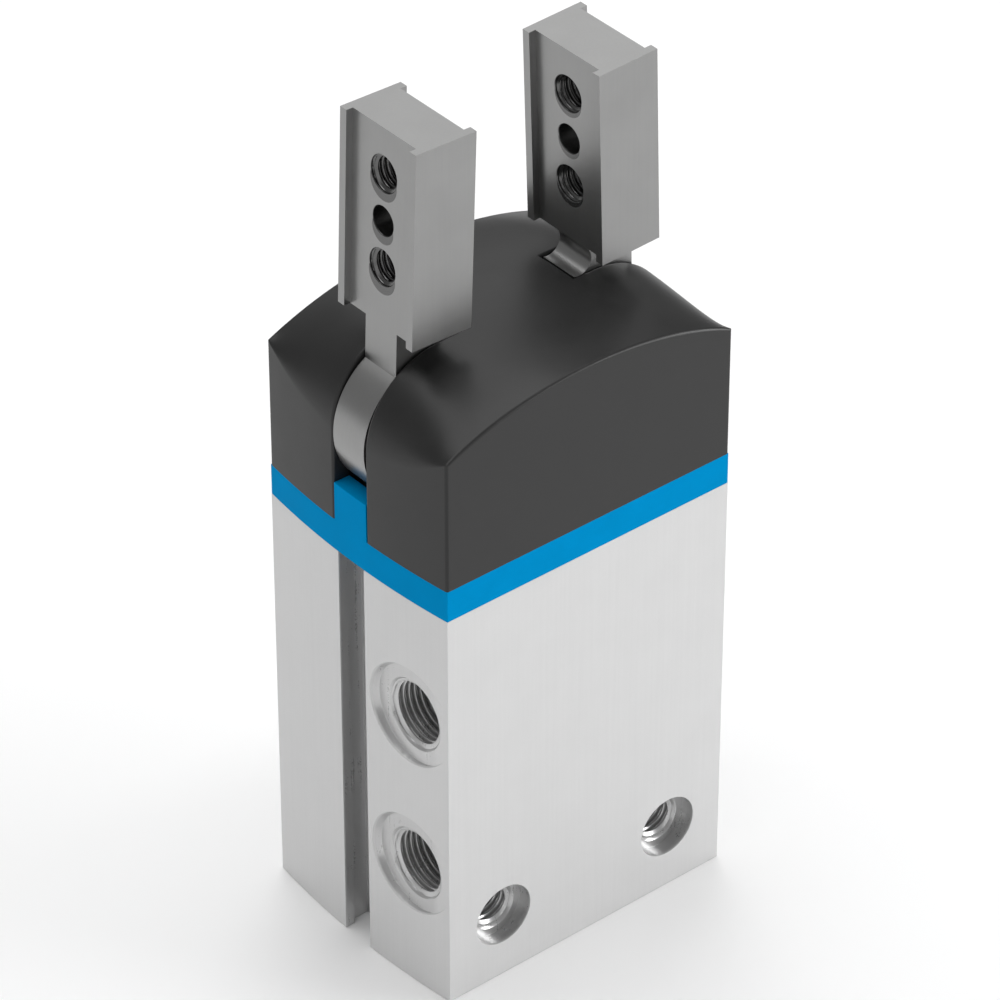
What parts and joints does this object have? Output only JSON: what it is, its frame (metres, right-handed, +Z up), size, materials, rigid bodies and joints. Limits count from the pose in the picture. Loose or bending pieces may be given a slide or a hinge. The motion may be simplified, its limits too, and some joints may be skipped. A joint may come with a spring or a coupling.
{
  "type": "pneumatic radial gripper",
  "caption": "Slim pneumatic gripper with two steel jaws that swing outward, a black domed cap, a blue band plate and a bright aluminium housing.",
  "frame": {"origin": "centre of the housing's bottom face", "axes": "+Z up along the piston rod towards the jaws, X across the two jaws, -Y out of the front broad face, ports on the -X face"},
  "size_m": [0.0484, 0.0352, 0.1227],
  "materials": {
    "housing": "satin anodised",
    "cover": "machined",
    "elastomer": "moulded",
    "spring_steel": "phosphated",
    "bronze": "sintered bronze",
    "piston": "turned",
    "magnet": "sintered ferrite",
    "screw": "black oxide",
    "rod": "ground and polished",
    "steel": "hardened and ground",
    "band": "satin blue",
    "carrier": "milled",
    "jaw": "ground steel",
    "cap": "satin black"
  },
  "bodies": {
    "body": {"housing": "housing", "bottom_cover": "cover", "cover_o_ring": "elastomer", "retaining_ring": "spring_steel", "lower_bumper": "elastomer", "upper_bumper": "elastomer", "rod_bush": "bronze", "rod_seal": "elastomer", "band_plate": "band", "bearing_block": "carrier", "block_screws": "screw", "block_dowels": "steel", "pin_grub_screws": "screw", "pivot_pin_left": "steel", "pivot_pin_right": "steel", "thrust_washers_left": "bronze", "thrust_washers_right": "bronze", "cap": "cap"},
    "piston_unit": {"piston": "piston", "piston_seals": "elastomer", "piston_magnet": "magnet", "piston_screw": "screw", "piston_rod": "rod", "rod_head": "steel", "drive_pins": "steel"},
    "jaw_unit_left": {"jaw_left": "jaw", "jaw_bush_left": "bronze"},
    "jaw_unit_right": {"jaw_right": "jaw", "jaw_bush_right": "bronze"}
  },
  "joints": [
    {"name": "jaw_left_swing", "type": "hinge", "parent": "body", "child": "jaw_unit_left", "pos_m": [-0.0136, 0, 0.07945], "axis": [0, -1, 0], "range_deg": [0, 92]},
    {"name": "jaw_right_swing", "type": "hinge", "parent": "body", "child": "jaw_unit_right", "pos_m": [0.0136, 0, 0.07945], "axis": [0, 1, 0], "range_deg": [0, 92]},
    {"name": "piston_travel", "type": "slide", "parent": "body", "child": "piston_unit", "axis": [0, 0, 1], "range_m": [0, 0.00771]}
  ],
  "couplings": [
    {"joint": "jaw_right_swing", "follows": "jaw_left_swing", "ratio": 1},
    {"joint": "piston_travel", "follows": "jaw_left_swing", "m_per_rad": 0.0048}
  ]
}
